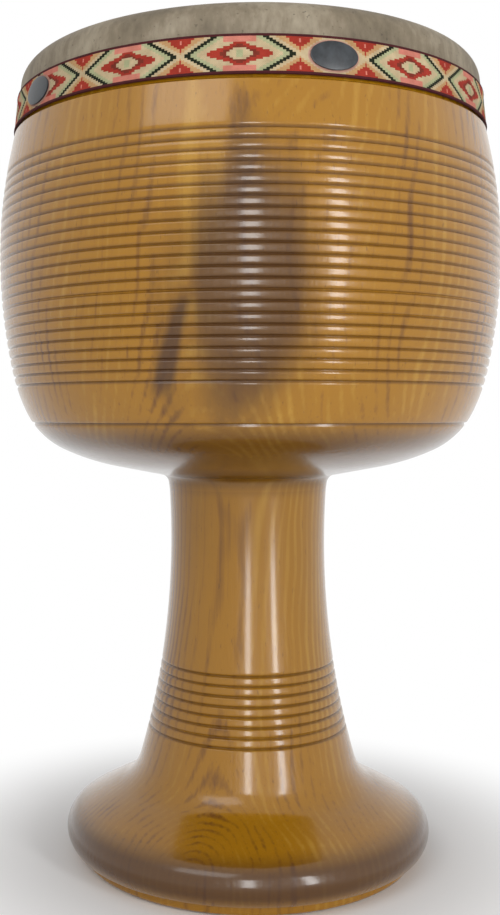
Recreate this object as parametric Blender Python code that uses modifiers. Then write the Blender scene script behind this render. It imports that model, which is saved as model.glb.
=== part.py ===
"""Tombak: a goblet drum turned from one block of wood, with its hide, ribbon and medallions.

Metres, +Z up. The drum stands on the floor at z = 0 with its axis on Z. The front is at -Y.
Every turned piece is an outline in the XZ plane, swept round Z.
"""
import math

import bmesh
import bpy

# Bowl, outside: arcs that run into each other, from the belly up to the rim and down to the stem
BELLY_HEIGHT = 0.354
BELLY_RADIUS = 0.1467
UPPER_CURVE = 0.274
UPPER_LEAN = 12.0
BELLY_CURVE = 0.320
BELLY_TURN = 11.5
HIP_CURVE = 0.110
HIP_TURN = 25.0
TURN_CURVE = 0.046
TURN_END = 65.0
UNDER_CURVE = 0.130
UNDER_END = 79.0
UNDER_ROUND = 0.006

# Rim and the rebate that the hide and the ribbon lie in
RIM_RISE = 0.1095
RIM_ROUND = 0.012
COLLAR_LEAN = 6.4
REBATE_DEPTH = 0.0017
REBATE_MARGIN = 0.0008
REBATE_CHAMFER = 0.0012

# Stem and foot, outside
NECK_HEIGHT = 0.190
NECK_RADIUS = 0.0462
STEM_CURVE = 0.475
COVE_CURVE = 0.026
FLANK_SLOPE = 28.0
FOOT_RADIUS = 0.1092
FOOT_ROUND = 0.0135
FOOT_UNDERCUT = 46.0
LIP_RADIUS = 0.1003
LIP_HEIGHT = 0.0070
LIP_LEDGE = 0.0003
LIP_ROUND = 0.0030

# Inside: the bowl's cavity, the throat's bore and the foot's bell
BOWL_WALL = 0.015
THROAT_RADIUS = 0.030
THROAT_ROUND = 0.010
FOOT_WALL = 0.016
BELL_CURVE = 0.100
MOUTH_RADIUS = 0.088
MOUTH_ROUND = 0.0015

# Turned grooves
GROOVE_WIDTH = 0.0024
GROOVE_DEPTH = 0.0011
BOWL_GROOVES = 23
BOWL_GROOVE_PITCH = 0.00552
BOWL_GROOVE_START = 0.0240
BASE_GROOVE_DROP = 0.0235
STEM_GROOVES = 8
STEM_GROOVE_PITCH = 0.00567
STEM_GROOVE_START = 0.0203

# Hide, ribbon and medallions
SEAT_GAP = 0.0003
HIDE_THICKNESS = 0.0008
HIDE_MARGIN = 0.0030
RIBBON_DROP = 0.0190
RIBBON_WIDTH = 0.0197
RIBBON_THICKNESS = 0.0007
SELVEDGE_WIDTH = 0.0016
SELVEDGE_RISE = 0.0003
MEDALLIONS = 5
MEDALLION_LENGTH = 0.0244
MEDALLION_WIDTH = 0.0143
MEDALLION_EDGE = 0.0006
MEDALLION_DOME = 0.0005
FIRST_MEDALLION = 17.5

# Facets
RING_STEPS = 36
POINT_SPACING = 0.009
MEDALLION_SIDES = 16
MEDALLION_RINGS = 6
SHARP_ANGLE = 35.0

# Heights that follow from the sizes above
RIM_HEIGHT = BELLY_HEIGHT + RIM_RISE
HEAD_HEIGHT = RIM_HEIGHT + SEAT_GAP + HIDE_THICKNESS
RIBBON_TOP = HEAD_HEIGHT - RIBBON_DROP
RIBBON_BOTTOM = RIBBON_TOP - RIBBON_WIDTH
HIDE_BOTTOM = RIBBON_BOTTOM + HIDE_MARGIN
REBATE_HEIGHT = RIBBON_BOTTOM - REBATE_MARGIN


def polar(center, radius, angle):
    """The point at a distance from a centre, with the angle in degrees above the level."""
    a = math.radians(angle)
    return (center[0] + radius * math.cos(a), center[1] + radius * math.sin(a))


def arc(center, radius, start, end, step):
    """Points on an arc, with about the given step in degrees between them."""
    count = max(1, math.ceil(abs(end - start) / step - 1e-6))
    return [polar(center, radius, start + (end - start) * i / count) for i in range(count + 1)]


def chain(start, angle, bends, step):
    """Arcs that run into each other: each bend is a radius and the angle at which it ends."""
    points = [start]
    for radius, end in bends:
        center = polar(points[-1], -radius, angle)
        points += arc(center, radius, angle, end, step)[1:]
        angle = end
    return points


def at_height(point, angle, height):
    """Where the line through a point, square to the angle, reaches a height."""
    return (point[0] - (height - point[1]) * math.tan(math.radians(angle)), height)


def at_radius(point, angle, radius):
    """Where the line through a point, square to the angle, reaches a radius."""
    return (radius, point[1] - (radius - point[0]) / math.tan(math.radians(angle)))


def fillet(before, corner, after, radius, step):
    """The corner of an outline, rounded off."""
    ax, az = before[0] - corner[0], before[1] - corner[1]
    bx, bz = after[0] - corner[0], after[1] - corner[1]
    a_len, b_len = math.hypot(ax, az), math.hypot(bx, bz)
    ax, az, bx, bz = ax / a_len, az / a_len, bx / b_len, bz / b_len
    half = math.acos(max(-1.0, min(1.0, ax * bx + az * bz))) / 2
    reach = min(radius / math.tan(half), 0.45 * a_len, 0.45 * b_len)
    radius = reach * math.tan(half)
    mx, mz = ax + bx, az + bz
    m_len = math.hypot(mx, mz)
    away = radius / math.sin(half)
    center = (corner[0] + mx / m_len * away, corner[1] + mz / m_len * away)
    first = (corner[0] + ax * reach, corner[1] + az * reach)
    last = (corner[0] + bx * reach, corner[1] + bz * reach)
    start = math.degrees(math.atan2(first[1] - center[1], first[0] - center[0]))
    end = math.degrees(math.atan2(last[1] - center[1], last[0] - center[0]))
    end = start + (end - start + 180.0) % 360.0 - 180.0
    return arc(center, radius, start, end, step)


def lengths(path):
    """How far along the path each of its points lies."""
    total = [0.0]
    for (x0, z0), (x1, z1) in zip(path, path[1:]):
        total.append(total[-1] + math.hypot(x1 - x0, z1 - z0))
    return total


def along(path, marks, distance, inset=0.0):
    """The point at a distance along the path, set in from its surface."""
    i = 1
    while i < len(path) - 1 and marks[i] < distance:
        i += 1
    (x0, z0), (x1, z1) = path[i - 1], path[i]
    span = marks[i] - marks[i - 1]
    t = (distance - marks[i - 1]) / span
    nx, nz = (z1 - z0) / span, -(x1 - x0) / span
    return (x0 + (x1 - x0) * t + nx * inset, z0 + (z1 - z0) * t + nz * inset)


def grooved(path, centers):
    """A path with a V groove cut at each centre, and even points on the smooth stretches."""
    marks = lengths(path)
    stops = [(0.0, 0.0)]
    for center in centers:
        stops += [(center - GROOVE_WIDTH / 2, 0.0), (center, GROOVE_DEPTH), (center + GROOVE_WIDTH / 2, 0.0)]
    stops.append((marks[-1], 0.0))
    points = [along(path, marks, 0.0)]
    for (s0, _), (s1, depth) in zip(stops, stops[1:]):
        count = max(1, round((s1 - s0) / POINT_SPACING))
        points += [along(path, marks, s0 + (s1 - s0) * i / count) for i in range(1, count)]
        points.append(along(path, marks, s1, depth))
    return points


def wall_top():
    """Where the bowl's upper arc runs out into its straight wall."""
    center = (BELLY_RADIUS - UPPER_CURVE, BELLY_HEIGHT)
    return polar(center, UPPER_CURVE, UPPER_LEAN)


def wall_radius(height):
    """The bowl's radius on the straight wall over its upper arc."""
    return at_height(wall_top(), UPPER_LEAN, height)[0]


def collar_radius(height):
    """The wood's radius under the hide's collar."""
    foot = (wall_radius(REBATE_HEIGHT) - REBATE_DEPTH, REBATE_HEIGHT)
    return at_height(foot, COLLAR_LEAN, height)[0]


def collar_line(offset, bottom):
    """The rim and its collar from the flat top down, at an offset outside the wood."""
    lean = math.cos(math.radians(COLLAR_LEAN))
    center_z = RIM_HEIGHT - RIM_ROUND
    center = (collar_radius(center_z) - RIM_ROUND / lean, center_z)
    points = arc(center, RIM_ROUND + offset, 90.0, COLLAR_LEAN, 21.0)
    points.append((collar_radius(bottom) + offset / lean, bottom))
    return points


def bowl_arcs(inset, step):
    """The bowl's side from the top of its upper arc down to its underside."""
    down = [
        (BELLY_CURVE, -BELLY_TURN),
        (HIP_CURVE, -HIP_TURN),
        (TURN_CURVE, -TURN_END),
        (UNDER_CURVE, -UNDER_END),
    ]
    upper = arc((BELLY_RADIUS - UPPER_CURVE, BELLY_HEIGHT), UPPER_CURVE - inset, UPPER_LEAN, 0.0, step)
    belly = (BELLY_RADIUS - inset, BELLY_HEIGHT)
    return upper[:-1] + chain(belly, 0.0, [(radius - inset, end) for radius, end in down], step)


def stem_point(height):
    """The stem's hollow curve, which is one wide arc round the neck."""
    rise = height - NECK_HEIGHT
    return (NECK_RADIUS + STEM_CURVE - math.sqrt(STEM_CURVE ** 2 - rise ** 2), height)


def stem_top():
    """Where the bowl's underside would meet the stem, without its rounding."""
    under = bowl_arcs(0.0, 5.0)[-1]
    corner = at_radius(under, -UNDER_END, NECK_RADIUS)
    for _ in range(20):
        corner = at_radius(under, -UNDER_END, stem_point(corner[1])[0])
    return corner


def foot_edge():
    """The centre of the foot's rounded edge, which stands on the lip."""
    low = FOOT_ROUND * math.sin(math.radians(FOOT_UNDERCUT))
    return (FOOT_RADIUS - FOOT_ROUND, LIP_HEIGHT + LIP_LEDGE + low)


def foot_lines(step):
    """The stem from its top down to the cove, then the cove, flank and rounded edge of the foot."""
    flank = 90.0 - FLANK_SLOPE
    edge = foot_edge()
    bend = (NECK_RADIUS + STEM_CURVE, NECK_HEIGHT)
    nx, nz = polar((0.0, 0.0), 1.0, flank)
    apart = (bend[0] - edge[0]) * nx + (bend[1] - edge[1]) * nz - COVE_CURVE - FOOT_ROUND
    meet = flank - math.degrees(math.acos(apart / (STEM_CURVE - COVE_CURVE)))
    cove = polar(bend, -(STEM_CURVE - COVE_CURVE), meet)
    top = stem_top()
    top_angle = math.degrees(math.asin((NECK_HEIGHT - top[1]) / STEM_CURVE))
    stem = [polar(bend, -STEM_CURVE, top_angle + (meet - top_angle) * i / 60) for i in range(61)]
    foot = arc(cove, -COVE_CURVE, meet, flank, step)[1:] + arc(edge, FOOT_ROUND, flank, -FOOT_UNDERCUT, 2 * step)
    return stem, foot


def outer_outline():
    """The wood's outside, from the flat of the rim down to the floor."""
    rebate = (collar_radius(REBATE_HEIGHT), REBATE_HEIGHT)
    collar = collar_line(0.0, REBATE_HEIGHT)
    shoulder_z = REBATE_HEIGHT - REBATE_CHAMFER
    shoulder = (wall_radius(shoulder_z), shoulder_z)
    stem, foot = foot_lines(11.0)
    side = [shoulder] + bowl_arcs(0.0, 1.0)
    under = side[-1]
    neck_round = fillet(under, stem[0], stem[1 + len(stem) // 4], UNDER_ROUND, 40.0)
    wall_grooves = [BOWL_GROOVE_START + i * BOWL_GROOVE_PITCH for i in range(BOWL_GROOVES)]
    wall_grooves.append(wall_grooves[-1] + BASE_GROOVE_DROP)
    wall = grooved(side + [neck_round[0]], wall_grooves)
    stem = [p for p in stem if p[1] < neck_round[-1][1]]
    stem_path = [neck_round[-1]] + stem
    end = lengths(stem_path)[-1]
    stem_grooves = [end - STEM_GROOVE_START - i * STEM_GROOVE_PITCH for i in range(STEM_GROOVES)]
    stem_wall = grooved(stem_path, sorted(stem_grooves))
    lip_top = (LIP_RADIUS, LIP_HEIGHT)
    lip_corner = (LIP_RADIUS, 0.0)
    lip = [lip_top] + fillet(lip_top, lip_corner, (MOUTH_RADIUS, 0.0), LIP_ROUND, 30.0)
    return collar[:-1] + [rebate] + wall + neck_round[1:-1] + stem_wall + foot + lip


def inner_outline():
    """The wood's inside, from the floor up through bell, throat and bowl to the rim."""
    flank = 90.0 - FLANK_SLOPE
    edge = foot_edge()
    flank_point = polar(edge, FOOT_ROUND - FOOT_WALL, flank)
    mouth_top = at_radius(flank_point, flank, MOUTH_RADIUS)
    bell_corner = at_radius(flank_point, flank, THROAT_RADIUS)
    side = bowl_arcs(BOWL_WALL, 9.0)
    floor = side[-1]
    throat_top = at_radius(floor, -UNDER_END, THROAT_RADIUS)
    rim = at_height(side[0], UPPER_LEAN, RIM_HEIGHT)
    mouth = fillet((LIP_RADIUS, 0.0), (MOUTH_RADIUS, 0.0), mouth_top, MOUTH_ROUND, 45.0)
    bell = fillet(mouth_top, bell_corner, throat_top, BELL_CURVE, 9.0)
    throat = fillet(bell_corner, throat_top, floor, THROAT_ROUND, 30.0)
    return mouth + [mouth_top] + bell + throat + side[::-1] + [rim]


def new_object(name, mesh, material, collection):
    """An object with its material, linked to the drum's collection."""
    mesh.materials.append(material)
    obj = bpy.data.objects.new(name, mesh)
    collection.objects.link(obj)
    return obj


def smooth(mesh):
    """Round faces shade smooth, and real edges stay crisp."""
    mesh.shade_smooth()
    mesh.set_sharp_from_angle(angle=math.radians(SHARP_ANGLE))


def turned(name, outline, closed, material, collection):
    """An outline swept round Z: it runs down the outside and back up the inside."""
    mesh = bpy.data.meshes.new(name)
    count = len(outline)
    edges = [(i, i + 1) for i in range(count - 1)]
    if closed:
        edges.append((count - 1, 0))
    mesh.from_pydata([(x, 0.0, z) for x, z in outline], edges, [])
    obj = new_object(name, mesh, material, collection)
    screw = obj.modifiers.new("Screw", "SCREW")
    screw.axis = "Z"
    screw.angle = math.tau
    screw.steps = RING_STEPS
    screw.render_steps = RING_STEPS
    screw.use_merge_vertices = True
    screw.merge_threshold = 0.00001
    bpy.context.view_layer.update()
    solid = bpy.data.meshes.new_from_object(obj.evaluated_get(bpy.context.evaluated_depsgraph_get()))
    obj.modifiers.clear()
    obj.data = solid
    bpy.data.meshes.remove(mesh)
    solid.name = name
    smooth(solid)
    return obj


def make_shell(collection):
    """The one-piece body: bowl, throat and foot."""
    wood = plain_material("lacquered_wood", (0.30, 0.155, 0.035), 0.22)
    return turned("shell", outer_outline() + inner_outline(), True, wood, collection)


def make_drumhead(collection):
    """The hide: a flat skin over the bowl, wrapped round the rim and down it as a collar."""
    hide = plain_material("hide", (0.30, 0.25, 0.18), 0.6)
    outer = collar_line(SEAT_GAP + HIDE_THICKNESS, HIDE_BOTTOM)
    inner = collar_line(SEAT_GAP, HIDE_BOTTOM)
    outline = [(0.0, HEAD_HEIGHT)] + outer + inner[::-1] + [(0.0, HEAD_HEIGHT - HIDE_THICKNESS)]
    return turned("drumhead", outline, False, hide, collection)


def ribbon_radius(height, thickness):
    """The ribbon's radius at a height, at a thickness over its back."""
    back = 2 * SEAT_GAP + HIDE_THICKNESS
    return collar_radius(height) + (back + thickness) / math.cos(math.radians(COLLAR_LEAN))


def make_ribbon(collection):
    """The woven band over the hide's edge, with a thicker selvedge along both its edges."""
    cloth = plain_material("woven_ribbon", (0.42, 0.20, 0.14), 0.85)
    thick = RIBBON_THICKNESS + SELVEDGE_RISE
    face = [
        (RIBBON_TOP, RIBBON_THICKNESS),
        (RIBBON_TOP - SELVEDGE_WIDTH / 2, thick),
        (RIBBON_TOP - SELVEDGE_WIDTH, RIBBON_THICKNESS),
        (RIBBON_BOTTOM + SELVEDGE_WIDTH, RIBBON_THICKNESS),
        (RIBBON_BOTTOM + SELVEDGE_WIDTH / 2, thick),
        (RIBBON_BOTTOM, RIBBON_THICKNESS),
        (RIBBON_BOTTOM, 0.0),
        (RIBBON_TOP, 0.0),
    ]
    outline = [(ribbon_radius(height, thickness), height) for height, thickness in face]
    return turned("ribbon", outline, True, cloth, collection)


def medallion_mesh(name, angle):
    """A low oval dome with a flat back, bent round the ribbon at an angle from the front."""
    middle_z = (RIBBON_TOP + RIBBON_BOTTOM) / 2
    middle_r = ribbon_radius(middle_z, RIBBON_THICKNESS + SEAT_GAP)
    lean = math.radians(COLLAR_LEAN)
    bm = bmesh.new()
    bmesh.ops.create_uvsphere(bm, u_segments=MEDALLION_SIDES, v_segments=MEDALLION_RINGS, radius=1.0)
    for vert in bm.verts:
        across, up, out = vert.co
        front = out > -0.01
        proud = MEDALLION_EDGE + MEDALLION_DOME * out if front else 0.0
        rise = up * MEDALLION_WIDTH / 2
        radius = middle_r - rise * math.sin(lean) + proud * math.cos(lean)
        turn = math.radians(angle) + across * MEDALLION_LENGTH / 2 / middle_r
        height = middle_z + rise * math.cos(lean) + proud * math.sin(lean)
        vert.co = (radius * math.sin(turn), -radius * math.cos(turn), height)
    mesh = bpy.data.meshes.new(name)
    bm.to_mesh(mesh)
    bm.free()
    smooth(mesh)
    return mesh


def make_medallions(collection):
    """The oval medallions, evenly round the ribbon."""
    enamel = plain_material("dark_enamel", (0.045, 0.055, 0.062), 0.3)
    for i in range(MEDALLIONS):
        name = f"medallion_{i + 1}"
        angle = FIRST_MEDALLION + i * 360.0 / MEDALLIONS
        new_object(name, medallion_mesh(name, angle), enamel, collection)


def plain_material(name, color, roughness):
    """A Principled material with one colour."""
    material = bpy.data.materials.new(name)
    material.use_nodes = True
    shader = material.node_tree.nodes["Principled BSDF"]
    shader.inputs["Base Color"].default_value = (*color, 1.0)
    shader.inputs["Roughness"].default_value = roughness
    shader.inputs["Metallic"].default_value = 0.0
    material.diffuse_color = (*color, 1.0)
    return material


def main():
    for obj in list(bpy.data.objects):
        bpy.data.objects.remove(obj, do_unlink=True)
    collection = bpy.data.collections.new("tombak")
    bpy.context.scene.collection.children.link(collection)
    make_shell(collection)
    make_drumhead(collection)
    make_ribbon(collection)
    make_medallions(collection)


main()
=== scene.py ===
"""A tombak: a goblet drum turned from one block of golden wood under clear lacquer.

Metres, +Z up. The drum stands at z = 0 with its axis on Z, and its front looks along -Y.
"""
import math

import bpy
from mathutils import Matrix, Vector


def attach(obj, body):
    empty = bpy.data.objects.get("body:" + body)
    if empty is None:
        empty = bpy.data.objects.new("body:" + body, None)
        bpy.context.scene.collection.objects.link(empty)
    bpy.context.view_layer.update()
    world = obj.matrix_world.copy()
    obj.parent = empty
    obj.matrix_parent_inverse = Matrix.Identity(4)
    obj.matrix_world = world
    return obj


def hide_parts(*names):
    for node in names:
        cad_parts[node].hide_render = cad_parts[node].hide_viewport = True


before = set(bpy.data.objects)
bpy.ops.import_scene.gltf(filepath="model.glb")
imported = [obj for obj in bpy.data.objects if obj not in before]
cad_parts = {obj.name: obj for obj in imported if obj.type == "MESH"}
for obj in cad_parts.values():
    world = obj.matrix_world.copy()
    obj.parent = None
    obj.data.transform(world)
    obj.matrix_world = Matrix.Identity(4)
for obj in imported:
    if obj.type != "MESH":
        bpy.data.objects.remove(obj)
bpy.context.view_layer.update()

# Bowl, outside: arcs that run into each other, from the belly up to the rim and down to the stem
BELLY_HEIGHT = 0.354
BELLY_RADIUS = 0.1467
UPPER_CURVE = 0.274
UPPER_LEAN = 12.0
BOWL_BENDS = ((0.320, -11.5), (0.110, -25.0), (0.046, -65.0), (0.130, -79.0))
UNDER_ROUND = 0.006

# Rim and the rebate that the hide and the ribbon lie in
RIM_HEIGHT = BELLY_HEIGHT + 0.1095
RIM_ROUND = 0.012
COLLAR_LEAN = 6.4
REBATE_DEPTH = 0.0017
REBATE_MARGIN = 0.0008
REBATE_CHAMFER = 0.0012

# Stem and foot, outside
NECK_HEIGHT = 0.190
NECK_RADIUS = 0.0462
STEM_CURVE = 0.475
COVE_CURVE = 0.026
FLANK_SLOPE = 28.0
FOOT_RADIUS = 0.1092
FOOT_ROUND = 0.0135
FOOT_UNDERCUT = 46.0
LIP_RADIUS = 0.1003
LIP_HEIGHT = 0.0070
LIP_LEDGE = 0.0003
LIP_ROUND = 0.0030

# Inside: the bowl's cavity, the throat's bore and the foot's bell
BOWL_WALL = 0.015
THROAT_RADIUS = 0.030
THROAT_ROUND = 0.010
FOOT_WALL = 0.016
BELL_CURVE = 0.100
MOUTH_RADIUS = 0.088
MOUTH_ROUND = 0.0015

# Turned grooves, each a smooth hollow between two beads
GROOVE_HALF = 0.0012
GROOVE_DEPTH = 0.00075
BEAD_HALF = 0.0027
BEAD_CROWN = 0.00035
GROOVE_CUTS = (1.0, 0.82, 0.64, 0.48, 0.36, 0.25, 0.13)
BOWL_GROOVES = 23
BOWL_GROOVE_PITCH = 0.00552
BOWL_GROOVE_START = 0.0240
BASE_GROOVE_DROP = 0.0235
STEM_GROOVES = 8
STEM_GROOVE_PITCH = 0.00567
STEM_GROOVE_START = 0.0203
POINT_SPACING = 0.0035

# Hide, ribbon and medallions
SEAT_GAP = 0.0003
HIDE_THICKNESS = 0.0008
HIDE_MARGIN = 0.0030
HEAD_HEIGHT = RIM_HEIGHT + SEAT_GAP + HIDE_THICKNESS
RIBBON_DROP = 0.0190
RIBBON_WIDTH = 0.0197
RIBBON_TOP = HEAD_HEIGHT - RIBBON_DROP
RIBBON_BOTTOM = RIBBON_TOP - RIBBON_WIDTH
RIBBON_MIDDLE = (RIBBON_TOP + RIBBON_BOTTOM) / 2
RIBBON_THICKNESS = 0.0007
SELVEDGE_WIDTH = 0.0016
SELVEDGE_RISE = 0.0003
MEDALLIONS = 5
MEDALLION_LENGTH = 0.0244
MEDALLION_WIDTH = 0.0143
MEDALLION_EDGE = 0.0006
MEDALLION_DOME = 0.0005
FIRST_MEDALLION = 17.5

HIDE_BOTTOM = RIBBON_BOTTOM + HIDE_MARGIN
REBATE_HEIGHT = RIBBON_BOTTOM - REBATE_MARGIN

# How finely pieces are made
FILLET_SHARE = 0.45
CORNER_TRIES = 20
STEM_POINTS = 60
HEAD_RINGS = 24
LATHE_STEPS = 144
OVAL_STEPS = 64
OVAL_RINGS = 24
MERGE_DISTANCE = 0.00002
SMOOTH_ANGLE = 40.0

# Below this height on the unit ball that it starts as, a medallion is pressed flat
OVAL_BACK = -0.01

# The attribute for how deep in a groove the wood lies, which also darkens the grooves as painted shade, and
# radii between its outside and its inside
HOLLOW = "hollow"
BOWL_SKIN = (BELLY_RADIUS - BOWL_WALL) * 0.75
STEM_SKIN = NECK_RADIUS * 0.9

# Colours of the wood, linear; UMBER is also the colour of the painted shade
GOLD = (0.34, 0.152, 0.004)
HONEY = (0.42, 0.215, 0.020)
BROWN = (0.150, 0.056, 0.006)
UMBER = (0.050, 0.018, 0.006)

# Colours of the hide, from dark to pale, and of the medallions' enamel and the ribbon's dirt, linear
HIDE_TANS = ((0.32, (0.115, 0.090, 0.055)), (0.47, (0.20, 0.160, 0.105)), (0.62, (0.33, 0.28, 0.20)))
HIDE_SPOT = (0.05, 0.035, 0.02)
SLATES = ((0.35, (0.008, 0.011, 0.014)), (0.65, (0.026, 0.032, 0.038)))
DIRT = ((0.3, (0.55, 0.50, 0.45)), (0.7, (1.0, 1.0, 1.0)))

# The wood's growth rings, dark heart and dark streak, as places in the block, and the heights of the
# painted shade under the bowl, round the foot's edge and on the stem
PITH = (-0.012, -0.105)
PITH_HEIGHT = 0.30
PITH_LEAN = 0.06
RING_WIDTH = 0.0052
RING_WANDER = 0.045
HEART = (-0.003, -0.130, 0.325)
HEART_REACH = (0.03953, 0.07071, 0.07454)
HEART_WANDER = 1.2
STREAK_X = -0.0345
STREAK_TOP = 0.305
STREAK_LEAN = 0.26
STREAK_WANDER = 0.010
STREAK_HEIGHT = 0.298
NECK_SHADE_HEIGHT = 0.239
FOOT_SHADE_HEIGHT = 0.019
STEM_SHADE_TOP = 0.22

# How far each dark figure of the wood and each band of painted shade is full, and where it has gone: the
# heart's in its own reaches
HEART_FADE = (0.55, 1.20)
STREAK_FADE = (0.002, 0.0075)
STREAK_END_FADE = (0.016, 0.030)
NECK_SHADE_FADE = (0.009, 0.024)
FOOT_SHADE_FADE = (0.005, 0.015)

# Grains: how fine and how rough each is, and its stretch, where less than 1 along Z draws it out upwards
EVEN = (1.0, 1.0, 1.0)
DRIFT = {"Scale": 9.0, "Detail": 3.0, "Roughness": 0.5, "Stretch": (1.0, 1.0, 0.45)}
WIDE = {"Scale": 30.0, "Detail": 4.0, "Roughness": 0.55, "Stretch": (1.0, 1.0, 0.07)}
FIBRE = {"Scale": 420.0, "Detail": 5.0, "Roughness": 0.6, "Stretch": (1.0, 1.0, 0.035)}
CLOUDS = {"Scale": 22.0, "Detail": 5.0, "Roughness": 0.6, "Stretch": EVEN}
HAIRS = {"Scale": 260.0, "Detail": 4.0, "Roughness": 0.6, "Stretch": (1.0, 1.0, 0.35)}
GRIME = {"Scale": 160.0, "Detail": 4.0, "Roughness": 0.6, "Stretch": EVEN}
BLOOM = {"Scale": 180.0, "Detail": 4.0, "Roughness": 0.6, "Stretch": EVEN}

# Specks: how fine they are, their stretch, and the grain's values between which they come up
FLECKS = {"Scale": 900.0, "Stretch": (1.0, 1.0, 0.16), "Low": 0.66, "High": 0.74}
SPOTS = {"Scale": 480.0, "Stretch": EVEN, "Low": 0.66, "High": 0.73}

# How strongly each dark figure of the wood, the painted shade in the grooves, under the bowl, round the
# foot's edge and on the stem, the hide's spots and the ribbon's dirt show
HEART_DARK = 0.78
STREAK_DARK = 0.80
GROOVE_PAINTED_SHADE = 0.60
NECK_PAINTED_SHADE = 0.70
FOOT_PAINTED_SHADE = 0.75
STEM_PAINTED_SHADE = 0.12
FLECK_DARK = 0.35
HIDE_SPOT_DARK = 0.5
DIRT_DARK = 0.55

# Colours of the ribbon, linear
CREAM = (0.58, 0.46, 0.28)
MINT = (0.42, 0.44, 0.25)
INK = (0.010, 0.014, 0.005)
CORAL = (0.38, 0.038, 0.022)
RUST = (0.20, 0.032, 0.018)
SALMON = (0.66, 0.23, 0.17)
PEACH = (0.56, 0.33, 0.15)
BLUSH = (0.56, 0.32, 0.25)
MAROON = (0.070, 0.012, 0.015)

# The ribbon round the drum: its first cross and its seam, in degrees, and how unevenly its cells run
SEAM_CROSS = 24.5
CROSSES = 15
SEAM_WIDTH = 14.1
WOVEN_TURN = 360.0 - SEAM_WIDTH
CROSS_DRIFT = 0.83

# The ribbon's woven figures in millimetres, measured from the middle of a diamond
MM = 1000.0
KNOT = 1.5
ROW = 0.95
THREAD_PITCH = 0.9
CHEVRON_SLOPE = 1.5
CHEVRONS = ((18.4, MINT), (21.2, INK), (24.4, CREAM))
EDGE_CHEVRON = 27.6
CROSS_SLOPE = 0.85
CROSS_HALF = 1.4
SPOT_ROW = 6.2
SPOT_SIZE = 1.6
BAND_REACH = 6.2
BAND_ROW = 5.6
DIAMONDS = ((14.6, 5.4, CORAL), (8.6, 3.9, RUST), (5.4, 2.7, CREAM), (1.0, 1.0, MINT))
OVAL_BORDER = 0.9
SELVEDGE_OVERLAP = 0.2

# The room: how bright its light is, where the floor fades to white, and where the lamps look
ROOM_LIGHT = 0.42
FLOOR_SIZE = 12.0
FLOOR_GAP = 0.0005
SHADOW_EDGE = 0.105
SHADOW_END = 0.26
LAMP_AIM = (0.0, 0.0, 0.25)

# The camera: its place, how far it tilts up from straight down and turns, in degrees, and its lens
CAMERA_PLACE = (0.0, -0.68, 0.2645)
CAMERA_TILT = 87.531
CAMERA_TURN = 2.571
SENSOR_WIDTH = 36.0
LENS = 44.22
LENS_SHIFT = (0.0577, 0.0048)


# Outlines in the XZ plane

def polar(center, radius, angle):
    """The point at a distance from a centre, with the angle in degrees above the level."""
    a = math.radians(angle)
    return (center[0] + radius * math.cos(a), center[1] + radius * math.sin(a))


def arc(center, radius, start, end, step):
    """Points on an arc, with about the given step in degrees between them."""
    count = max(1, math.ceil(abs(end - start) / step - 1e-6))
    return [polar(center, radius, start + (end - start) * i / count) for i in range(count + 1)]


def chain(start, angle, bends, step):
    """Arcs that run into each other: each bend is a radius and the angle at which it ends."""
    points = [start]
    for radius, end in bends:
        center = polar(points[-1], -radius, angle)
        points += arc(center, radius, angle, end, step)[1:]
        angle = end
    return points


def at_height(point, angle, height):
    """Where the line through a point, square to the angle, reaches a height."""
    return (point[0] - (height - point[1]) * math.tan(math.radians(angle)), height)


def at_radius(point, angle, radius):
    """Where the line through a point, square to the angle, reaches a radius."""
    return (radius, point[1] - (radius - point[0]) / math.tan(math.radians(angle)))


def fillet(before, corner, after, radius, step):
    """The corner of an outline, rounded off."""
    a = Vector(before) - Vector(corner)
    b = Vector(after) - Vector(corner)
    half = a.angle(b) / 2
    reach = min(radius / math.tan(half), FILLET_SHARE * a.length, FILLET_SHARE * b.length)
    radius = reach * math.tan(half)
    a.normalize()
    b.normalize()
    center = Vector(corner) + (a + b).normalized() * radius / math.sin(half)
    first = Vector(corner) + a * reach - center
    last = Vector(corner) + b * reach - center
    start = math.degrees(math.atan2(first.y, first.x))
    end = math.degrees(math.atan2(last.y, last.x))
    end = start + (end - start + 180.0) % 360.0 - 180.0
    return arc(center, radius, start, end, step)


def lengths(path):
    """How far along the path each of its points lies."""
    total = [0.0]
    for (x0, z0), (x1, z1) in zip(path, path[1:]):
        total.append(total[-1] + math.hypot(x1 - x0, z1 - z0))
    return total


def along(path, marks, distance, inset=0.0):
    """The point at a distance along the path, set in from its surface."""
    i = 1
    while i < len(path) - 1 and marks[i] < distance:
        i += 1
    (x0, z0), (x1, z1) = path[i - 1], path[i]
    span = marks[i] - marks[i - 1]
    t = (distance - marks[i - 1]) / span
    nx, nz = (z1 - z0) / span, -(x1 - x0) / span
    return (x0 + (x1 - x0) * t + nx * inset, z0 + (z1 - z0) * t + nz * inset)


def bead_inset(distance):
    """How deep the wood is cut at a distance from a groove's middle, out to the crown of the bead."""
    crown = BEAD_CROWN * (1.0 - abs(distance) / BEAD_HALF) ** 2
    cut = min(1.0, abs(distance) / GROOVE_HALF)
    return crown + GROOVE_DEPTH * (1.0 - cut * cut) ** 2


def grooved(path, centers):
    """A path with a smooth groove cut at each centre, and even points between them."""
    marks = lengths(path)
    stops = [(0.0, 0.0)]
    for center in centers:
        cuts = [-cut for cut in GROOVE_CUTS] + [0.0] + list(reversed(GROOVE_CUTS))
        stops += [(center + cut * BEAD_HALF, bead_inset(cut * BEAD_HALF)) for cut in cuts]
    stops.append((marks[-1], 0.0))
    points = [along(path, marks, 0.0)]
    hollows = []
    for (s0, _), (s1, depth) in zip(stops, stops[1:]):
        count = max(1, round((s1 - s0) / POINT_SPACING))
        points += [along(path, marks, s0 + (s1 - s0) * i / count) for i in range(1, count)]
        points.append(along(path, marks, s1, depth))
        hollows.append((points[-1], depth / (GROOVE_DEPTH + BEAD_CROWN)))
    return points, hollows


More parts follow.
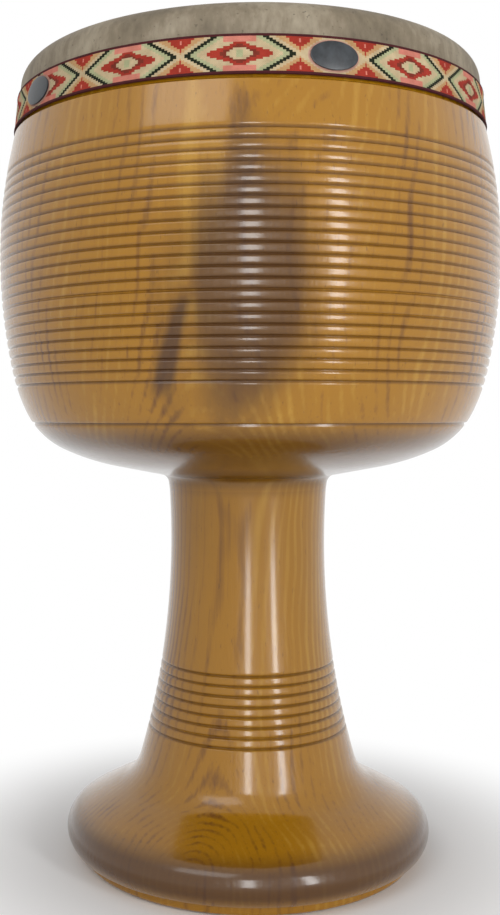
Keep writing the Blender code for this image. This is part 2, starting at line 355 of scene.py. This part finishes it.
def wall_radius(height):
    """The bowl's radius on the straight wall over its upper arc."""
    top = polar((BELLY_RADIUS - UPPER_CURVE, BELLY_HEIGHT), UPPER_CURVE, UPPER_LEAN)
    return at_height(top, UPPER_LEAN, height)[0]


def collar_radius(height):
    """The wood's radius under the hide's collar."""
    foot = (wall_radius(REBATE_HEIGHT) - REBATE_DEPTH, REBATE_HEIGHT)
    return at_height(foot, COLLAR_LEAN, height)[0]


def collar_line(offset, bottom, step):
    """The rim and its collar from the flat top down, at an offset outside the wood."""
    lean = math.cos(math.radians(COLLAR_LEAN))
    center_z = RIM_HEIGHT - RIM_ROUND
    center = (collar_radius(center_z) - RIM_ROUND / lean, center_z)
    points = arc(center, RIM_ROUND + offset, 90.0, COLLAR_LEAN, step)
    top = points[-1][1]
    count = max(1, round((top - bottom) / POINT_SPACING))
    for i in range(1, count + 1):
        height = top + (bottom - top) * i / count
        points.append((collar_radius(height) + offset / lean, height))
    return points


def bowl_arcs(inset, step):
    """The bowl's side from the top of its upper arc down to its underside."""
    upper = arc((BELLY_RADIUS - UPPER_CURVE, BELLY_HEIGHT), UPPER_CURVE - inset, UPPER_LEAN, 0.0, step)
    belly = (BELLY_RADIUS - inset, BELLY_HEIGHT)
    return upper[:-1] + chain(belly, 0.0, [(radius - inset, end) for radius, end in BOWL_BENDS], step)


def stem_point(height):
    """The stem's hollow curve, which is one wide arc round the neck."""
    rise = height - NECK_HEIGHT
    return (NECK_RADIUS + STEM_CURVE - math.sqrt(STEM_CURVE ** 2 - rise ** 2), height)


def stem_top():
    """Where the bowl's underside would meet the stem, without its rounding, found by closing in on it."""
    under = bowl_arcs(0.0, step=5.0)[-1]
    corner = at_radius(under, BOWL_BENDS[-1][1], NECK_RADIUS)
    for _ in range(CORNER_TRIES):
        corner = at_radius(under, BOWL_BENDS[-1][1], stem_point(corner[1])[0])
    return corner


def foot_edge():
    """The centre of the foot's rounded edge, which stands on the lip."""
    low = FOOT_ROUND * math.sin(math.radians(FOOT_UNDERCUT))
    return (FOOT_RADIUS - FOOT_ROUND, LIP_HEIGHT + LIP_LEDGE + low)


def foot_lines(step):
    """The stem from its top down to the cove, then the cove, flank and rounded edge of the foot."""
    flank = 90.0 - FLANK_SLOPE
    edge = foot_edge()
    bend = (NECK_RADIUS + STEM_CURVE, NECK_HEIGHT)
    nx, nz = polar((0.0, 0.0), 1.0, flank)
    apart = (bend[0] - edge[0]) * nx + (bend[1] - edge[1]) * nz - COVE_CURVE - FOOT_ROUND
    meet = flank - math.degrees(math.acos(apart / (STEM_CURVE - COVE_CURVE)))
    cove = polar(bend, -(STEM_CURVE - COVE_CURVE), meet)
    top = stem_top()
    top_angle = math.degrees(math.asin((NECK_HEIGHT - top[1]) / STEM_CURVE))
    turn = (meet - top_angle) / STEM_POINTS
    stem = [polar(bend, -STEM_CURVE, top_angle + turn * i) for i in range(STEM_POINTS + 1)]
    foot = arc(cove, -COVE_CURVE, meet, flank, step)[1:]
    return stem, foot + arc(edge, FOOT_ROUND, flank, -FOOT_UNDERCUT, step)


def outer_outline():
    """The wood's outside from the flat of the rim down to the floor, and how hollow its grooves are."""
    collar = collar_line(0.0, REBATE_HEIGHT, step=12.0)
    shoulder_z = REBATE_HEIGHT - REBATE_CHAMFER
    shoulder = (wall_radius(shoulder_z), shoulder_z)
    stem, foot = foot_lines(step=5.0)
    side = [shoulder] + bowl_arcs(0.0, step=1.0)
    quarter_down = stem[1 + len(stem) // 4]
    neck_round = fillet(side[-1], stem[0], quarter_down, UNDER_ROUND, step=12.0)
    wall_grooves = [BOWL_GROOVE_START + i * BOWL_GROOVE_PITCH for i in range(BOWL_GROOVES)]
    wall_grooves.append(wall_grooves[-1] + BASE_GROOVE_DROP)
    wall, wall_hollows = grooved(side + [neck_round[0]], wall_grooves)
    stem_path = [neck_round[-1]] + [p for p in stem if p[1] < neck_round[-1][1]]
    end = lengths(stem_path)[-1]
    stem_grooves = [end - STEM_GROOVE_START - i * STEM_GROOVE_PITCH for i in range(STEM_GROOVES)]
    stem_wall, stem_hollows = grooved(stem_path, sorted(stem_grooves))
    lip_top = (LIP_RADIUS, LIP_HEIGHT)
    lip = [lip_top] + fillet(lip_top, (LIP_RADIUS, 0.0), (MOUTH_RADIUS, 0.0), LIP_ROUND, step=15.0)
    outline = collar + wall + neck_round[1:-1] + stem_wall + foot + lip
    return outline, wall_hollows + stem_hollows


def inner_outline():
    """The wood's inside, from the floor up through bell, throat and bowl to the rim."""
    flank = 90.0 - FLANK_SLOPE
    flank_point = polar(foot_edge(), FOOT_ROUND - FOOT_WALL, flank)
    mouth_top = at_radius(flank_point, flank, MOUTH_RADIUS)
    bell_corner = at_radius(flank_point, flank, THROAT_RADIUS)
    side = bowl_arcs(BOWL_WALL, step=4.0)
    throat_top = at_radius(side[-1], BOWL_BENDS[-1][1], THROAT_RADIUS)
    rim = at_height(side[0], UPPER_LEAN, RIM_HEIGHT)
    mouth = fillet((LIP_RADIUS, 0.0), (MOUTH_RADIUS, 0.0), mouth_top, MOUTH_ROUND, step=30.0)
    bell = fillet(mouth_top, bell_corner, throat_top, BELL_CURVE, step=5.0)
    throat = fillet(bell_corner, throat_top, side[-1], THROAT_ROUND, step=15.0)
    return mouth + [mouth_top] + bell + throat + side[::-1] + [rim]


# Making pieces

def deselect_all():
    """Nothing selected, so that an operator acts only on the piece in hand."""
    bpy.ops.object.select_all(action="DESELECT")


def lathe(name, outline, closed):
    """A piece turned round the drum's axis: its outline is drawn point by point, then spun."""
    deselect_all()
    bpy.ops.mesh.primitive_plane_add(size=0.01, location=(0.0, 0.0, 0.0))
    piece = bpy.context.object
    piece.name = name
    bpy.ops.object.mode_set(mode="EDIT")
    bpy.ops.mesh.merge(type="CENTER")
    bpy.ops.transform.translate(value=(outline[0][0], 0.0, outline[0][1]))
    path = outline[1:] + outline[:1] if closed else outline[1:]
    at = outline[0]
    for point in path:
        step = (point[0] - at[0], 0.0, point[1] - at[1])
        bpy.ops.mesh.extrude_vertices_move(TRANSFORM_OT_translate={"value": step})
        at = point
    bpy.ops.mesh.select_all(action="SELECT")
    bpy.ops.mesh.remove_doubles(threshold=MERGE_DISTANCE)
    bpy.ops.mesh.spin(steps=LATHE_STEPS, angle=math.tau, center=(0.0, 0.0, 0.0), axis=(0.0, 0.0, 1.0))
    bpy.ops.mesh.select_all(action="SELECT")
    bpy.ops.mesh.remove_doubles(threshold=MERGE_DISTANCE)
    bpy.ops.mesh.normals_make_consistent(inside=False)
    bpy.ops.object.mode_set(mode="OBJECT")
    return piece


def finish_piece(piece, material, slot, *nodes):
    """The last steps of every piece: smooth shading, material, body and the nodes it stands for. Its slot
    is not used.
    """
    deselect_all()
    piece.select_set(True)
    bpy.context.view_layer.objects.active = piece
    bpy.ops.object.shade_smooth_by_angle(angle=math.radians(SMOOTH_ANGLE))
    piece.data.materials.clear()
    piece.data.materials.append(material)
    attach(piece, "root")
    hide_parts(*nodes)


def make_body(material):
    """The one-piece wooden body with its turned beads, and how hollow each point of it lies."""
    outline, hollows = outer_outline()
    piece = lathe("turned_body", outline + inner_outline(), True)
    depths = {round(height, 5): depth for (_, height), depth in hollows}
    values = piece.data.attributes.new(HOLLOW, "FLOAT", "POINT")
    neck_top = stem_top()[1]
    for vert, value in zip(piece.data.vertices, values.data):
        skin = BOWL_SKIN if vert.co.z > neck_top else STEM_SKIN
        outside = math.hypot(vert.co.x, vert.co.y) > skin
        value.value = depths.get(round(vert.co.z, 5), 0.0) if outside else 0.0
    finish_piece(piece, material, "wood", "shell")


def make_head(material):
    """The hide over the rim, with its glued collar."""
    outer = collar_line(SEAT_GAP + HIDE_THICKNESS, HIDE_BOTTOM, step=6.0)
    inner = collar_line(SEAT_GAP, HIDE_BOTTOM, step=12.0)
    flat = [(outer[0][0] * i / HEAD_RINGS, HEAD_HEIGHT) for i in range(HEAD_RINGS)]
    outline = flat + outer + inner[::-1] + [(0.0, HEAD_HEIGHT - HIDE_THICKNESS)]
    piece = lathe("hide_head", outline, False)
    finish_piece(piece, material, "hide", "drumhead")


def ribbon_radius(height, thickness):
    """The ribbon's radius at a height, at a thickness over its back."""
    back = 2 * SEAT_GAP + HIDE_THICKNESS
    return collar_radius(height) + (back + thickness) / math.cos(math.radians(COLLAR_LEAN))


def make_ribbon(material):
    """The woven band, with a thicker selvedge along both its edges."""
    crown = RIBBON_THICKNESS + SELVEDGE_RISE
    selvedge = [
        (0.0, RIBBON_THICKNESS * 0.6),
        (0.2, crown * 0.9),
        (0.5, crown),
        (0.8, crown * 0.9),
        (1.0, RIBBON_THICKNESS),
    ]
    face = [(RIBBON_TOP - SELVEDGE_WIDTH * share, thickness) for share, thickness in selvedge]
    face += [(RIBBON_BOTTOM + SELVEDGE_WIDTH * share, thickness) for share, thickness in selvedge[::-1]]
    face += [(RIBBON_BOTTOM, 0.0), (RIBBON_TOP, 0.0)]
    outline = [(ribbon_radius(height, thickness), height) for height, thickness in face]
    piece = lathe("woven_band", outline, True)
    finish_piece(piece, material, "ribbon", "ribbon")


def make_medallions(material):
    """The oval medallions: balls pressed flat behind and to a low dome in front, bent round the ribbon."""
    middle_r = ribbon_radius(RIBBON_MIDDLE, RIBBON_THICKNESS + SEAT_GAP)
    lean = math.radians(COLLAR_LEAN)
    for i in range(MEDALLIONS):
        deselect_all()
        bpy.ops.mesh.primitive_uv_sphere_add(segments=OVAL_STEPS, ring_count=OVAL_RINGS, radius=1.0)
        piece = bpy.context.object
        piece.name = f"oval_{i + 1}"
        angle = math.radians(FIRST_MEDALLION + i * 360.0 / MEDALLIONS)
        for vert in piece.data.vertices:
            across, up, out = vert.co
            proud = MEDALLION_EDGE + MEDALLION_DOME * out if out > OVAL_BACK else 0.0
            rise = up * MEDALLION_WIDTH / 2
            radius = middle_r - rise * math.sin(lean) + proud * math.cos(lean)
            turn = angle + across * MEDALLION_LENGTH / 2 / middle_r
            height = RIBBON_MIDDLE + rise * math.cos(lean) + proud * math.sin(lean)
            vert.co = (radius * math.sin(turn), -radius * math.cos(turn), height)
        finish_piece(piece, material, "medallion", f"medallion_{i + 1}")


# Node trees

class Field:
    """A value that changes over a surface, so that a pattern is written as plain arithmetic."""

    def __init__(self, tree, socket):
        self.tree = tree
        self.socket = socket

    def made(self, operation, *values):
        """What a Math node makes of the values."""
        node = self.tree.nodes.new("ShaderNodeMath")
        node.operation = operation
        for target, value in zip(node.inputs, values):
            feed(self.tree, target, value)
        return Field(self.tree, node.outputs[0])

    def __add__(self, other):
        return self.made("ADD", self, other)

    def __radd__(self, other):
        return self.made("ADD", other, self)

    def __sub__(self, other):
        return self.made("SUBTRACT", self, other)

    def __rsub__(self, other):
        return self.made("SUBTRACT", other, self)

    def __mul__(self, other):
        return self.made("MULTIPLY", self, other)

    def __truediv__(self, other):
        return self.made("DIVIDE", self, other)

    def __lt__(self, other):
        return self.made("LESS_THAN", self, other)

    def __gt__(self, other):
        return self.made("GREATER_THAN", self, other)

    def size(self):
        return self.made("ABSOLUTE", self)

    def floor(self):
        return self.made("FLOOR", self)

    def sine(self):
        return self.made("SINE", self)

    def root(self):
        return self.made("SQRT", self)

    def step_up(self, low, high):
        """0 below low, 1 above high, and a smooth rise between them."""
        node = self.tree.nodes.new("ShaderNodeMapRange")
        node.interpolation_type = "SMOOTHSTEP"
        feed(self.tree, node.inputs["Value"], self)
        feed(self.tree, node.inputs["From Min"], low)
        feed(self.tree, node.inputs["From Max"], high)
        return Field(self.tree, node.outputs["Result"])


def feed(tree, target, value):
    """A socket takes a field, another socket or a plain value."""
    if isinstance(value, Field):
        value = value.socket
    if isinstance(value, bpy.types.NodeSocket):
        tree.links.new(value, target)
    else:
        target.default_value = value


def surface_point(tree):
    """The point on the piece, in metres."""
    return tree.nodes.new("ShaderNodeTexCoord").outputs["Object"]


def axes(tree, point):
    """The X, Y and Z of a point, as three fields."""
    split = tree.nodes.new("ShaderNodeSeparateXYZ")
    tree.links.new(point, split.inputs[0])
    return [Field(tree, output) for output in split.outputs]


def away(fields, center, reach=(1.0, 1.0, 1.0)):
    """The distance from a centre, measured along each axis in units of that axis' reach."""
    offsets = [(field - middle) / unit for field, middle, unit in zip(fields, center, reach)]
    return sum(offset * offset for offset in offsets).root()


def band(field, middle, full, gone):
    """1 up to a distance from a middle, and 0 past a larger distance."""
    return 1.0 - (field - middle).size().step_up(full, gone)


def attribute(tree, name):
    """A value that is stored on the piece's points."""
    node = tree.nodes.new("ShaderNodeAttribute")
    node.attribute_name = name
    return Field(tree, node.outputs["Fac"])


def new_group(name, inputs, output):
    """A shader group with named sockets: what its inputs give, by name, and the socket that it puts out."""
    group = bpy.data.node_groups.new(name, "ShaderNodeTree")
    for label, kind in inputs:
        group.interface.new_socket(name=label, in_out="INPUT", socket_type=kind)
    group.interface.new_socket(name=output, in_out="OUTPUT", socket_type="NodeSocketFloat")
    given = group.nodes.new("NodeGroupInput").outputs
    return group, given, group.nodes.new("NodeGroupOutput").inputs[0]


def placed(tree, group, **values):
    """A group in a material or in another group, with a value for each socket that is named."""
    node = tree.nodes.new("ShaderNodeGroup")
    node.node_tree = group
    for label, value in values.items():
        feed(tree, node.inputs[label], value)
    return Field(tree, node.outputs[0])


def grain_group():
    """Grain: soft noise from 0 to 1, with its pattern stretched along the axes."""
    sockets = [
        ("Point", "NodeSocketVector"),
        ("Scale", "NodeSocketFloat"),
        ("Detail", "NodeSocketFloat"),
        ("Roughness", "NodeSocketFloat"),
        ("Stretch", "NodeSocketVector"),
    ]
    group, given, result = new_group("grain", sockets, "Grain")
    mapping = group.nodes.new("ShaderNodeMapping")
    texture = group.nodes.new("ShaderNodeTexNoise")
    group.links.new(given["Point"], mapping.inputs["Vector"])
    group.links.new(given["Stretch"], mapping.inputs["Scale"])
    group.links.new(mapping.outputs[0], texture.inputs["Vector"])
    for label in ("Scale", "Detail", "Roughness"):
        group.links.new(given[label], texture.inputs[label])
    group.links.new(texture.outputs["Fac"], result)
    return group


def specks_group(grain):
    """Specks: 1 where a fine grain is over its high limit, 0 below its low one."""
    sockets = [
        ("Point", "NodeSocketVector"),
        ("Scale", "NodeSocketFloat"),
        ("Stretch", "NodeSocketVector"),
        ("Low", "NodeSocketFloat"),
        ("High", "NodeSocketFloat"),
    ]
    group, given, result = new_group("specks", sockets, "Mask")
    fine = placed(group, grain, Point=given["Point"], Scale=given["Scale"], Detail=2.0, Roughness=0.5,
                  Stretch=given["Stretch"])
    group.links.new(fine.step_up(given["Low"], given["High"]).socket, result)
    return group


def ramp(tree, value, stops):
    """Colours along a value, as (place, colour) pairs."""
    node = tree.nodes.new("ShaderNodeValToRGB")
    elements = node.color_ramp.elements
    while len(elements) < len(stops):
        elements.new(0.5)
    for element, (at, color) in zip(elements, stops):
        element.position = at
        element.color = (*color, 1.0)
    feed(tree, node.inputs[0], value)
    return node.outputs[0]


def mix(tree, factor, first, second, blend="MIX"):
    """Two colours mixed by a field. The node's sockets 6 and 7 take them, and its output 2 is their mix."""
    node = tree.nodes.new("ShaderNodeMix")
    node.data_type = "RGBA"
    node.blend_type = blend
    feed(tree, node.inputs[0], factor)
    for target, value in ((node.inputs[6], first), (node.inputs[7], second)):
        feed(tree, target, (*value, 1.0) if isinstance(value, tuple) else value)
    return node.outputs[2]


def new_material(name):
    """A material with its node tree and its Principled shader."""
    material = bpy.data.materials.new(name)
    material.use_nodes = True
    tree = material.node_tree
    return material, tree, tree.nodes["Principled BSDF"]


def bump(tree, shader, height, distance, strength):
    """Fine relief under the light, in metres."""
    node = tree.nodes.new("ShaderNodeBump")
    node.inputs["Strength"].default_value = strength
    node.inputs["Distance"].default_value = distance
    feed(tree, node.inputs["Height"], height)
    tree.links.new(node.outputs[0], shader.inputs["Normal"])


# Materials

def wood_material(grain, specks):
    """Golden wood with a dark heart near the front, long fibres and small flecks, under lacquer, and with
    shade painted into its grooves, under the bowl, round the foot's edge and on the stem.
    """
    material, tree, shader = new_material("lacquered_wood")
    point = surface_point(tree)
    x, y, z = axes(tree, point)
    drift = placed(tree, grain, Point=point, **DRIFT)
    from_pith = away((x - (z - PITH_HEIGHT) * PITH_LEAN, y), PITH) + (drift - 0.5) * RING_WANDER
    rings = (from_pith * (math.tau / RING_WIDTH)).sine() * 0.5 + 0.5
    wide = placed(tree, grain, Point=point, **WIDE)
    fibre = placed(tree, grain, Point=point, **FIBRE)
    tone = wide * 0.62 + fibre * 0.26 + rings * (0.08 + wide * 0.16)
    color = ramp(tree, tone, [(0.30, BROWN), (0.45, GOLD), (0.58, GOLD), (0.74, HONEY)])
    from_heart = away((x, y, z), HEART, HEART_REACH) + (wide - 0.5) * HEART_WANDER
    heart = 1.0 - from_heart.step_up(*HEART_FADE)
    color = mix(tree, heart * HEART_DARK, color, UMBER)
    from_streak = (x - STREAK_X + (STREAK_TOP - z) * STREAK_LEAN).size() + (wide - 0.5) * STREAK_WANDER
    streak = 1.0 - from_streak.step_up(*STREAK_FADE)
    streak = streak * band(z, STREAK_HEIGHT, *STREAK_END_FADE) * (y < 0.0)
    color = mix(tree, streak * STREAK_DARK, color, UMBER)
    # Painted shade: the wood darkens with the depth of each groove
    color = mix(tree, attribute(tree, HOLLOW) * GROOVE_PAINTED_SHADE, color, UMBER)
    # Painted shade: a dark band under the bowl where it meets the stem, another round the foot's rounded
    # edge and its undercut, and the stem a little darker all over
    shade = band(z, NECK_SHADE_HEIGHT, *NECK_SHADE_FADE) * NECK_PAINTED_SHADE
    shade = shade + band(z, FOOT_SHADE_HEIGHT, *FOOT_SHADE_FADE) * FOOT_PAINTED_SHADE + (z < STEM_SHADE_TOP) * STEM_PAINTED_SHADE
    color = mix(tree, shade, color, UMBER)
    flecks = placed(tree, specks, Point=point, **FLECKS)
    color = mix(tree, flecks * FLECK_DARK, color, UMBER)
    feed(tree, shader.inputs["Base Color"], color)
    feed(tree, shader.inputs["Roughness"], 0.30 - fibre * 0.10)
    shader.inputs["Specular IOR Level"].default_value = 0.20
    shader.inputs["Coat Weight"].default_value = 0.65
    shader.inputs["Coat Roughness"].default_value = 0.13
    bump(tree, shader, fibre * 0.7 + wide * 0.3, distance=0.0008, strength=0.45)
    return material


def hide_material(grain, specks):
    """Untreated skin: mottled grey-brown, with paler fibres and dark specks."""
    material, tree, shader = new_material("hide")
    point = surface_point(tree)
    clouds = placed(tree, grain, Point=point, **CLOUDS)
    hairs = placed(tree, grain, Point=point, **HAIRS)
    color = ramp(tree, clouds * 0.7 + hairs * 0.3, HIDE_TANS)
    spots = placed(tree, specks, Point=point, **SPOTS)
    color = mix(tree, spots * HIDE_SPOT_DARK, color, HIDE_SPOT)
    feed(tree, shader.inputs["Base Color"], color)
    shader.inputs["Roughness"].default_value = 0.62
    bump(tree, shader, clouds * 0.5 + hairs * 0.5, distance=0.0006, strength=0.6)
    return material


def mm_per_degree():
    """Millimetres along the ribbon's middle for each degree round the drum."""
    return math.radians(1.0) * ribbon_radius(RIBBON_MIDDLE, 0.0) * MM


def cell_span():
    """Millimetres from one cross to the next."""
    return WOVEN_TURN / CROSSES * mm_per_degree()


def woven_cell(x, y):
    """Where a point lies in the weave: the degrees past the seam's cross, the cells counted up to it,
    the millimetres from the middle of its diamond, and 1 in the seam.
    """
    turn = x.made("ARCTAN2", x, y * -1.0) * (180.0 / math.pi) - SEAM_CROSS
    turn = turn.made("FLOORED_MODULO", turn, 360.0)
    around = turn / WOVEN_TURN
    cells = around * CROSSES + around * around * (1.0 - around) * CROSS_DRIFT
    past_end = turn - WOVEN_TURN
    seam = past_end > 0.0
    from_cross = past_end.made("MINIMUM", past_end, 360.0 - turn) * mm_per_degree()
    in_cell = (cells - cells.floor() - 0.5).size() * cell_span()
    from_middle = in_cell * (1.0 - seam) + (cell_span() / 2 - from_cross) * seam
    return turn, cells, from_middle, seam


def woven_figures(tree, from_middle, across, seam):
    """The colour of each knot: chevrons, crosses, spots, edge bands and nested diamonds."""
    a = (from_middle / KNOT).floor() * KNOT
    b = (across / ROW).floor() * ROW
    half = cell_span() / 2
    chevron = a + b * CHEVRON_SLOPE
    color = CREAM
    for start, thread in CHEVRONS:
        color = mix(tree, chevron > start, color, thread)
    color = mix(tree, seam, color, CREAM)
    color = mix(tree, chevron > EDGE_CHEVRON, color, PEACH)
    cross = (half - a) * CROSS_SLOPE + CROSS_HALF - b
    color = mix(tree, cross < 0.0, color, CORAL)
    spot = ((half - a).size() + (b - SPOT_ROW).size()) < SPOT_SIZE
    color = mix(tree, spot, color, SALMON)
    color = mix(tree, (a < BAND_REACH) * (b > BAND_ROW), color, SALMON)
    for length, height, thread in DIAMONDS:
        color = mix(tree, (a / length + b / height) < 1.0, color, thread)
    return color


def behind_medallion(turn, across):
    """A mask of the plain oval that shows as a border round each medallion."""
    spacing = 360.0 / MEDALLIONS
    nearest = turn + (SEAM_CROSS - FIRST_MEDALLION + spacing / 2)
    nearest = nearest.made("FLOORED_MODULO", nearest, spacing) - spacing / 2
    reach = (MEDALLION_LENGTH * MM / 2 + OVAL_BORDER, MEDALLION_WIDTH * MM / 2 + OVAL_BORDER)
    return away((nearest * mm_per_degree(), across), (0.0, 0.0), reach) < 1.0


def ribbon_material(grain):
    """Diamonds in stepped chevrons between crosses, woven in threads, with dark selvedges and grime."""
    material, tree, shader = new_material("woven_ribbon")
    point = surface_point(tree)
    x, y, z = axes(tree, point)
    turn, cells, from_middle, seam = woven_cell(x, y)
    across = (z - RIBBON_MIDDLE).size() * MM
    color = woven_figures(tree, from_middle, across, seam)
    color = mix(tree, behind_medallion(turn, across), color, BLUSH)
    selvedge = (RIBBON_WIDTH / 2 - SELVEDGE_WIDTH) * MM + SELVEDGE_OVERLAP
    color = mix(tree, across > selvedge, color, MAROON)
    warp = (cells * (cell_span() * math.tau / THREAD_PITCH)).sine()
    weft = (z * (MM * math.tau / THREAD_PITCH)).sine()
    grime = placed(tree, grain, Point=point, **GRIME)
    color = mix(tree, DIRT_DARK, color, ramp(tree, grime, DIRT), "MULTIPLY")
    feed(tree, shader.inputs["Base Color"], color)
    shader.inputs["Roughness"].default_value = 0.85
    shader.inputs["Specular IOR Level"].default_value = 0.2
    bump(tree, shader, warp * weft * 0.5 + grime * 0.5, distance=0.0003, strength=0.6)
    return material


def enamel_material(grain):
    """Dark slate enamel with a faint bloom."""
    material, tree, shader = new_material("dark_enamel")
    point = surface_point(tree)
    bloom = placed(tree, grain, Point=point, **BLOOM)
    feed(tree, shader.inputs["Base Color"], ramp(tree, bloom, SLATES))
    feed(tree, shader.inputs["Roughness"], 0.22 + bloom * 0.25)
    bump(tree, shader, bloom, distance=0.0002, strength=0.3)
    return material


# Floor, light and camera

def seen_ray(tree):
    """1 for what the eye sees, straight or in gloss or glass, and 0 for light that falls on things."""
    path = tree.nodes.new("ShaderNodeLightPath")
    seen = Field(tree, path.outputs["Is Camera Ray"])
    seen = seen.made("MAXIMUM", seen, path.outputs["Is Glossy Ray"])
    return seen.made("MAXIMUM", seen, path.outputs["Is Transmission Ray"])


def make_floor():
    """A plain pale floor, wide enough to fill every view, which fades to white round the drum's shadow."""
    deselect_all()
    bpy.ops.mesh.primitive_plane_add(size=FLOOR_SIZE, location=(0.0, 0.0, -FLOOR_GAP))
    floor = bpy.context.object
    floor.name = "floor"
    material, tree, shader = new_material("pale_floor")
    shader.inputs["Base Color"].default_value = (0.95, 0.95, 0.95, 1.0)
    shader.inputs["Roughness"].default_value = 0.9
    shader.inputs["Specular IOR Level"].default_value = 0.1
    x, y, _ = axes(tree, surface_point(tree))
    white = tree.nodes.new("ShaderNodeEmission")
    join = tree.nodes.new("ShaderNodeMixShader")
    far = away((x, y), (0.0, 0.0)).step_up(SHADOW_EDGE, SHADOW_END)
    feed(tree, join.inputs[0], far * seen_ray(tree))
    tree.links.new(shader.outputs[0], join.inputs[1])
    tree.links.new(white.outputs[0], join.inputs[2])
    tree.links.new(join.outputs[0], tree.nodes["Material Output"].inputs[0])
    floor.data.materials.append(material)


def make_world():
    """An even pale room, white to the eye and in reflections."""
    world = bpy.data.worlds.new("studio")
    bpy.context.scene.world = world
    world.use_nodes = True
    tree = world.node_tree
    background = tree.nodes["Background"]
    background.inputs["Color"].default_value = (1.0, 1.0, 1.0, 1.0)
    feed(tree, background.inputs["Strength"], seen_ray(tree) * (1.0 - ROOM_LIGHT) + ROOM_LIGHT)


def area_light(name, azimuth, height, distance, size, power):
    """A soft box at an azimuth from the front, looking at the drum."""
    a = math.radians(azimuth)
    place_at = Vector((distance * math.sin(a), -distance * math.cos(a), height))
    data = bpy.data.lights.new(name, "AREA")
    data.shape = "RECTANGLE"
    data.size, data.size_y = size
    data.energy = power
    lamp = bpy.data.objects.new(name, data)
    bpy.context.scene.collection.objects.link(lamp)
    lamp.location = place_at
    lamp.rotation_euler = (Vector(LAMP_AIM) - place_at).to_track_quat("-Z", "Y").to_euler()


def make_camera():
    """The camera at the height and distance that the photograph was taken from."""
    data = bpy.data.cameras.new("camera")
    data.sensor_width = SENSOR_WIDTH
    data.lens = LENS
    data.shift_x, data.shift_y = LENS_SHIFT
    camera = bpy.data.objects.new("camera", data)
    bpy.context.scene.collection.objects.link(camera)
    camera.location = CAMERA_PLACE
    camera.rotation_euler = (math.radians(CAMERA_TILT), 0.0, math.radians(CAMERA_TURN))
    bpy.context.scene.camera = camera


grain = grain_group()
specks = specks_group(grain)
make_body(wood_material(grain, specks))
make_head(hide_material(grain, specks))
make_ribbon(ribbon_material(grain))
make_medallions(enamel_material(grain))
make_floor()
make_world()
area_light("key", azimuth=-30.0, height=1.9, distance=1.8, size=(1.4, 0.8), power=9.0)
area_light("window_right", azimuth=37.0, height=0.45, distance=1.7, size=(0.20, 1.1), power=10.0)
area_light("window_front", azimuth=1.0, height=0.45, distance=1.8, size=(0.22, 1.1), power=9.0)
make_camera()
bpy.context.scene.view_settings.view_transform = "Standard"
